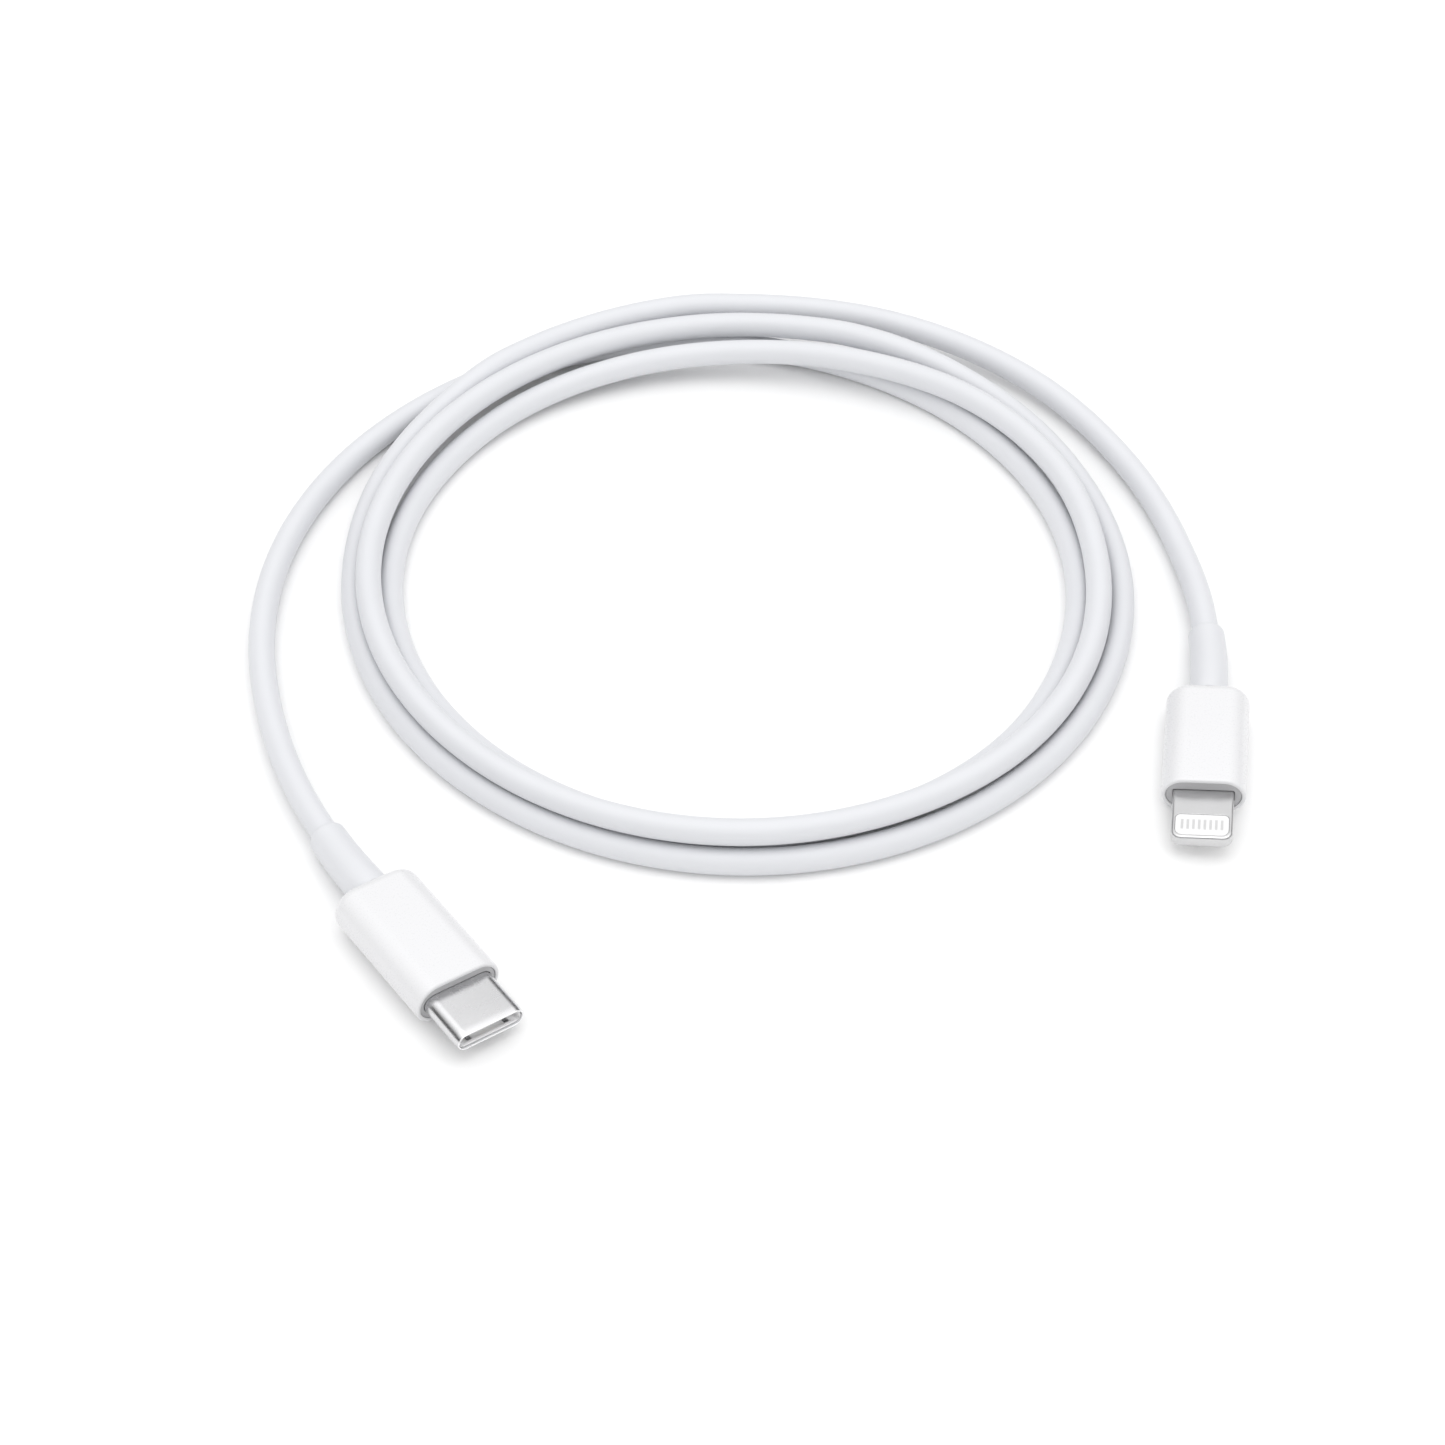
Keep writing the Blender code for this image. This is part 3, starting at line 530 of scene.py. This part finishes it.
def plan(half_x, low, high, corners, steps=10):
    """Outline of a block in plan, anticlockwise from the right; corner radii are tip, root."""
    tip, root = corners
    loop = []
    for cx, cy, radius, start in ((half_x - tip, high - tip, tip, 0),
                                  (-half_x + tip, high - tip, tip, 90),
                                  (-half_x + root, low + root, root, 180),
                                  (half_x - root, low + root, root, 270)):
        for k in range(steps + 1):
            turn = math.radians(start + 90 * k / steps)
            loop.append((cx + radius * math.cos(turn), cy + radius * math.sin(turn)))
    return loop


# ---- plug pieces ------------------------------------------------------------------------
def boot(name, size, can, place, mat):
    """The moulded grip, with rounded rear corners and a soft lip round its recessed front."""
    width, height, length = size
    hole = 2 * NECK_R + 0.1
    loops = [stadium(hole, hole, -length + 0.6, place), stadium(hole, hole, -length, place)]
    for out, back in arc(BOOT_REAR_ROUND, 12):
        inset, y = BOOT_REAR_ROUND - back, -length + BOOT_REAR_ROUND - out
        loops.append(stadium(width - 2 * inset, height - 1.2 * inset, y, place))
    loops.append(stadium(width, height, -length / 2, place))
    for inset, y in ((0.0, -0.30), (0.02, -0.19), (0.07, -0.09), (0.14, -0.03), (0.22, 0.0),
                     (RIM - 0.10, 0.0), (RIM - 0.03, -0.03), (RIM, -0.10)):
        loops.append(stadium(width - 2 * inset, height - 2 * inset, y, place))
    mouth = (width - 2 * RIM, height - 2 * RIM)
    loops += [stadium(*mouth, -RECESS - 0.5, place),
              stadium(can[0] + 0.1, can[1] + 0.1, -RECESS - 0.5, place),
              stadium(can[0] + 0.1, can[1] + 0.1, -length + 3.0, place),
              stadium(hole, hole, -length + 3.0, place)]
    return lofted(name, loops, mat)


def can(name, boot_size, size, mouth, corner, place, mat):
    """The metal can; its front plate closes the boot's recess round the nose."""
    front, rear = -RECESS, -boot_size[2] + 3.2
    collar = (boot_size[0] - 2 * RIM - 0.05, boot_size[1] - 2 * RIM - 0.05)
    bore = (size[0] - 2 * CAN_WALL, size[1] - 2 * CAN_WALL)
    throat = 2 * JACKET_R + 0.4
    loops = [stadium(*mouth, front - 0.05, place, corner),
             stadium(mouth[0] + 0.1, mouth[1] + 0.1, front, place,
                     None if corner is None else corner + 0.05),
             stadium(collar[0] - 0.1, collar[1] - 0.1, front, place),
             stadium(*collar, front - 0.05, place), stadium(*collar, front - 0.4, place),
             stadium(*size, front - 0.55, place), stadium(*size, rear + 0.8, place),
             stadium(throat, throat, rear, place), stadium(throat, throat, rear + 0.35, place),
             stadium(*bore, rear + 1.3, place), stadium(*bore, front - 0.6, place),
             stadium(*mouth, front - 0.6, place, corner)]
    return lofted(name, loops, mat)


def relief(name, line, mouth, into, radii, mat):
    """The tapered sleeve: a rounded mouth, a slight swell, and a neck inside the boot."""
    start = line.stop[mouth]
    sign = 1 if into > start else -1
    length, lip = abs(into - start) - NECK_L - 0.05, RELIEF_LIP

    def at(past, radius):
        return circle(line, start + sign * past, radius, ROUND)
    loops = [at(lip * (1 - math.cos(t)), radii[0] - lip + lip * math.sin(t))
             for t in (math.pi / 2 * k / 8 for k in range(9))]
    loops += [at(lip + (length - lip) * k / 24, radii[0] + (radii[1] - radii[0]) * k / 24)
              for k in range(1, 25)]
    end = length + NECK_L
    loops += [at(length + 0.03, NECK_R), at(end, NECK_R), at(end, RELIEF_BORE)]
    loops += [at(end * k / 24, RELIEF_BORE) for k in range(23, -1, -1)]
    return lofted(name, loops, mat)


def shell(place, mat, lip_highlight_mat):
    """Drawn shell: a slight lead-in, a flat lip at the mouth in a paler, partly matt copy of the
    steel as a painted highlight, and a bore through it.
    """
    inner = (SHELL_W - 2 * SHELL_WALL, SHELL_H - 2 * SHELL_WALL)
    loops = [stadium(SHELL_W, SHELL_H, -SHELL_IN, place)]
    loops += [stadium(SHELL_W, SHELL_H, y, place) for y in (-0.5, 1.5, 3.5, 5.2)]
    for inset, y in ((0.004, 0.80), (0.012, 0.62), (0.026, 0.46), (0.042, 0.33), (0.058, 0.22),
                     (0.070, 0.14), (0.078, 0.08)):
        loops.append(stadium(SHELL_W - 2 * inset, SHELL_H - 2 * inset, SHELL_OUT - y, place))
    lip_start = len(loops) - 1
    for inset, y in ((0.090, 0.035), (0.110, 0.006), (0.13, 0.0), (0.20, 0.0), (0.225, 0.012),
                     (0.238, 0.04), (0.24, 0.10), (0.24, 0.40)):
        loops.append(stadium(SHELL_W - 2 * inset, SHELL_H - 2 * inset, SHELL_OUT - y, place))
    lip_end = len(loops) - 1
    loops.append(stadium(*inner, -SHELL_IN, place))
    made = lofted("shell", loops, mat)
    # The lip's faces take the paler copy of the steel, a painted highlight.
    made.data.materials.append(lip_highlight_mat)
    for poly in made.data.polygons:
        if lip_start <= poly.index // len(loops[0]) < lip_end:
            poly.material_index = 1
    return made


def housing(place, mat):
    """The contact housing, chamfered into its slot, with windows for the grounding fingers."""
    tip = SHELL_OUT - 0.2
    edge = tip - HOUSING_CHAMFER
    loops = [stadium(HOUSING_W, HOUSING_H, HOUSING_BACK, place),
             stadium(HOUSING_W, HOUSING_H, edge, place),
             stadium(HOUSING_W - 0.1, HOUSING_H - 0.1, tip, place),
             stadium(SLOT_W + 0.08, SLOT_H + 0.08, tip, place, 0.32),
             stadium(SLOT_W, SLOT_H, edge, place, 0.3),
             stadium(SLOT_W, SLOT_H, HOUSING_BACK, place, 0.3)]
    made = lofted("housing", loops, mat)
    verts, faces = [], []
    for x in (-FINGER_X, FINGER_X):
        for z in (-FINGER_Z, FINGER_Z):
            reach, first = FINGER_W / 2 + 0.07, len(verts)
            verts += [place(x + i * reach, y, z + j * 0.18) for i in (-1, 1)
                      for y in FINGER_WINDOW for j in (-1, 1)]
            faces += [tuple(first + i for i in face) for face in
                      ((0, 1, 3, 2), (4, 6, 7, 5), (0, 4, 5, 1), (2, 3, 7, 6), (0, 2, 6, 4),
                       (1, 5, 7, 3))]
    cutter = build("cutter", verts, faces, mat)
    step = made.modifiers.new("windows", "BOOLEAN")
    step.operation, step.solver, step.object = "DIFFERENCE", "EXACT", cutter
    bpy.context.view_layer.update()
    graph = bpy.context.evaluated_depsgraph_get()
    mesh = bpy.data.meshes.new_from_object(made.evaluated_get(graph))
    made.modifiers.clear()
    made.data = mesh
    bpy.data.objects.remove(cutter)
    return made


def tongue(place, mat):
    """The flat plug's metal tongue: rounded long edges, bevelled tip, window for the contacts."""
    half_w, half_t = TAB_W / 2, TAB_T / 2
    top = TAB_OUT - WINDOW_TIP
    round_edge = ((0.30, 0.0), (0.26, 0.0), (0.14, 0.03), (0.05, 0.10), (0.0, 0.24))
    outer = [(inset, half_t - drop) for inset, drop in round_edge]
    rings = outer + [(inset, -z) for inset, z in outer[::-1]]

    def edge(inset, z):
        shape = plan(half_w - inset, -TAB_IN, TAB_OUT - inset, (TAB_ROUND - inset * 0.6, 0.05))
        return [place(x, y, z) for x, y in shape]

    def hole(grow, z):
        shape = plan(WINDOW_W / 2 + grow, top - WINDOW_L - grow, top + grow,
                     (WINDOW_ROUND[0] + grow, WINDOW_ROUND[1] + grow))
        return [place(x, y, z) for x, y in shape]
    loops = [edge(i, z) for i, z in rings]
    loops += [hole(0.05, -half_t), hole(0.03, -half_t), hole(0.0, -half_t + 0.03),
              hole(0.0, half_t - 0.03), hole(0.03, half_t), hole(0.05, half_t)]
    return lofted("tongue", loops, mat, sharp=50)


def insulator(place, mat):
    """The white block in the tongue's window, with softened edges."""
    half_t, top, gap = TAB_T / 2 - 0.04, TAB_OUT - WINDOW_TIP, 0.02

    def layer(inset, z):
        shape = plan(WINDOW_W / 2 - gap - inset, top - WINDOW_L + gap + inset, top - gap - inset,
                     (WINDOW_ROUND[0] - gap - inset, WINDOW_ROUND[1] - gap - inset))
        return [place(x, y, z) for x, y in shape]
    levels = ((0.12, half_t), (0.07, half_t), (0.02, half_t - 0.02), (0.0, half_t - 0.07))
    loops = [layer(i, z) for i, z in levels] + [layer(i, -z) for i, z in levels[::-1]]
    return lofted("insulator", loops, mat, closed=False)


def soften(obj, mat, width, segments=2):
    """A CAD piece kept as it is, with its own finish and a fine radius on its edges."""
    obj.data.materials.clear()
    obj.data.materials.append(mat)
    step = obj.modifiers.new("edge", "BEVEL")
    step.width, step.segments = width * MM, segments
    step.limit_method, step.angle_limit = "ANGLE", math.radians(40)
    step.harden_normals = False


# ---- assembly ---------------------------------------------------------------------------
def tail_lengths(line, side):
    """A tail's four joints and the five cuts round them, as distances along the line."""
    out = -1 if side == "flat" else 1
    joints = [line.stop[f"{side}_{k}"] for k in (1, 2, 3, 4)]
    cuts = [joints[0] - out * COIL_REACH]
    cuts += [(a + b) / 2 for a, b in zip(joints, joints[1:])]
    cuts.append(0.0 if out < 0 else line.length)
    return out, joints, cuts


def bend(piece, line, side, k):
    """Bakes the piece's transform where it lies; the bend about joint number k, counted from the
    coil, is not made.
    """
    out, joints, cuts = tail_lengths(line, side)
    reach = min(BEND_REACH, 0.95 * abs(joints[k] - cuts[k]), 0.95 * abs(joints[k] - cuts[k + 1]))
    row(line.point(joints[k] - out * reach))
    row(line.point(joints[k] + out * reach))
    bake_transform(piece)


def add_cable(line, mats):
    """The jacket, braid and wires: the coil, and one length round each of the eight joints."""
    spans = [("coil", line.stop["flat_1"] + COIL_REACH, line.stop["usbc_1"] - COIL_REACH, None,
              ("jacket_coil",))]
    for side in TAILS:
        cuts = tail_lengths(line, side)[2]
        for k in range(4):
            nodes = (f"jacket_{side}_link_{k + 1}",) if k < 3 else (f"jacket_{side}_stub",)
            spans.append((f"{side}_{k + 1}", min(cuts[k], cuts[k + 1]), max(cuts[k], cuts[k + 1]),
                          (side, k), nodes))
    wires = (("wire_power", "red"), ("wire_data_plus", "green"), ("wire_ground", "black"),
             ("wire_data_minus", "white"))
    for name, start, end, joint, nodes in spans:
        long = joint is None
        jacket = pipe(f"jacket_{name}_skin", line, start, end, JACKET_R, BORE_R, mats["jacket"],
                      1.0 if long else 0.5, ROUND)
        braid = pipe(f"braid_{name}", line, start, end, BRAID_OUT_R, BRAID_IN_R, mats["braid"],
                     2.0 if long else 1.0, BRAID_ROUND)
        made = [stand_for(jacket, "jacket", *nodes), stand_for(braid, "braid", "shield_braid")]
        for k, (node, colour) in enumerate(wires):
            wire = strand(f"{node}_{name}", line, start, end, k, mats[colour],
                          1.6 if long else 0.8)
            made.append(stand_for(wire, f"wire_{colour}", node))
        for piece in made:
            if long:
                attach(piece, "coil")
            else:
                bend(piece, line, *joint)


def stand_for(piece, slot, *nodes):
    """The piece replaces these CAD nodes, which are hidden; the slot is not used."""
    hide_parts(*nodes)
    return piece


def add_sleeve(side, line, into, radii, mat):
    """The strain relief sleeve, on the cable just outside the boot."""
    piece = relief(f"{side}_sleeve", line, f"{side}_in", into, radii, mat)
    bend(stand_for(piece, "moulding", f"{side}_strain_relief"), line, side, 3)


def add_flat_plug(line, nodes, mats):
    place = placer(FLAT_AT, FLAT_HEADING, FLAT_ROLL)
    grip = boot("flat_grip", FLAT_BOOT, FLAT_CAN, place, mats["boot"])
    plate = can("flat_plate", FLAT_BOOT, FLAT_CAN, (TAB_W + 0.1, TAB_T + 0.1), 0.25, place,
                mats["plate"])
    for piece in (stand_for(grip, "moulding", "flat_boot"), stand_for(plate, "can", "flat_can"),
                  stand_for(tongue(place, mats["tab"]), "plug_steel", "flat_tab"),
                  stand_for(insulator(place, mats["insulator"]), "insulator", "flat_insulator")):
        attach(piece, "flat_plug")
    add_sleeve("flat", line, 0.0, FLAT_RELIEF, mats["relief"])
    for k in range(1, 9):
        for face in ("top", "bottom"):
            soften(nodes[f"flat_contact_{face}_{k}"], mats["pad"], 0.04, 3)
    soften(nodes["flat_board"], mats["board"], 0.05)
    soften(nodes["flat_chip"], mats["chip"], 0.06)


def add_usbc_plug(line, nodes, mats):
    place = placer(USBC_AT, USBC_HEADING, USBC_ROLL)
    grip = boot("usbc_grip", USBC_BOOT, USBC_CAN, place, mats["boot"])
    plate = can("usbc_plate", USBC_BOOT, USBC_CAN, (SHELL_W + 0.08, SHELL_H + 0.08), None, place,
                mats["plate"])
    for piece in (stand_for(grip, "moulding", "usbc_boot"), stand_for(plate, "can", "usbc_can"),
                  stand_for(shell(place, mats["shell"], mats["lip"]), "plug_steel", "usbc_shell"),
                  stand_for(housing(place, mats["housing"]), "housing", "usbc_housing")):
        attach(piece, "usbc_plug")
    add_sleeve("usbc", line, line.length, USBC_RELIEF, mats["relief"])
    soften(nodes["usbc_board"], mats["board"], 0.05)
    for side in ("top", "bottom"):
        soften(nodes[f"usbc_spring_{side}"], mats["spring"], 0.015)
    for side in ("left", "right"):
        soften(nodes[f"usbc_latch_{side}"], mats["latch"], 0.03)
    for name, node in nodes.items():
        if name.startswith("usbc_contact_"):
            soften(node, mats["gold"], 0.02)


# ---- studio -----------------------------------------------------------------------------
def add_floor(height):
    mesh = bpy.data.meshes.new("floor")
    rim = [(x, y, height) for x, y in arc(FLOOR_RADIUS, 96, 0.0, 360.0)[:-1]]
    mesh.from_pydata(rim, [], [tuple(range(len(rim)))])
    floor = bpy.data.objects.new("floor", mesh)
    bpy.context.scene.collection.objects.link(floor)
    mesh.materials.append(moulded("floor_paper", (0.90, 0.90, 0.90), 0.995, 0.9, 0.4,
                                  depth=0.002))


def add_lights():
    """A wide overhead softbox: a pale dome that falls off to a darker room near the horizon."""
    world = bpy.data.worlds.new("studio")
    world.use_nodes = True
    bpy.context.scene.world = world
    tree = world.node_tree
    link, back = tree.links.new, tree.nodes["Background"]
    coord = tree.nodes.new("ShaderNodeTexCoord")
    split = tree.nodes.new("ShaderNodeSeparateXYZ")
    link(coord.outputs["Generated"], split.inputs[0])
    domes = []
    for low, high, start, end in (MATT_DOME, GLOSS_DOME):
        fall = tree.nodes.new("ShaderNodeMapRange")
        for key, number in (("From Min", start), ("From Max", end), ("To Min", low),
                            ("To Max", high)):
            fall.inputs[key].default_value = number
        link(split.outputs["Z"], fall.inputs["Value"])
        domes.append(fall.outputs[0])
    seen = tree.nodes.new("ShaderNodeLightPath")
    lit, shown = tree.nodes.new("ShaderNodeMix"), tree.nodes.new("ShaderNodeMix")
    link(seen.outputs["Is Glossy Ray"], lit.inputs[0])
    link(domes[0], lit.inputs[2])
    link(domes[1], lit.inputs[3])
    link(seen.outputs["Is Camera Ray"], shown.inputs[0])
    link(lit.outputs[0], shown.inputs[2])
    shown.inputs[3].default_value = 1.0
    link(shown.outputs[0], back.inputs["Strength"])
    back.inputs["Color"].default_value = (1.0, 1.0, 1.0, 1.0)
    light = bpy.data.lights.new("key", "AREA")
    light.shape, light.energy = "RECTANGLE", KEY
    light.size, light.size_y = KEY_SIZE
    lamp = bpy.data.objects.new("key", light)
    lamp.location = KEY_AT
    bpy.context.scene.collection.objects.link(lamp)


def add_camera():
    """A long lens from the front, looking down at 46 degrees."""
    pitch, roll = math.radians(PITCH), math.radians(TILT)
    right, up = Vector((1, 0, 0)), Vector((0, math.sin(pitch), math.cos(pitch)))
    forward = Vector((0, math.cos(pitch), -math.sin(pitch)))
    x = right * math.cos(roll) + up * math.sin(roll)
    y = up * math.cos(roll) - right * math.sin(roll)
    data = bpy.data.cameras.new("camera")
    data.sensor_width, data.lens = SENSOR, LENS
    data.clip_start, data.clip_end = 0.01, 10.0
    camera = bpy.data.objects.new("camera", data)
    camera.matrix_world = Matrix([(x[i], y[i], -forward[i], CAMERA_AT[i]) for i in range(3)]
                                 + [(0, 0, 0, 1)])
    bpy.context.scene.collection.objects.link(camera)
    bpy.context.scene.camera = camera


def main():
    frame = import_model()
    mats, line = make_materials(), Line()
    add_cable(line, mats)
    add_flat_plug(line, frame["nodes"], mats)
    add_usbc_plug(line, frame["nodes"], mats)
    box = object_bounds()
    add_floor(box[0].z)
    add_lights()
    add_camera()
    bpy.context.scene.view_settings.view_transform = "Standard"


main()
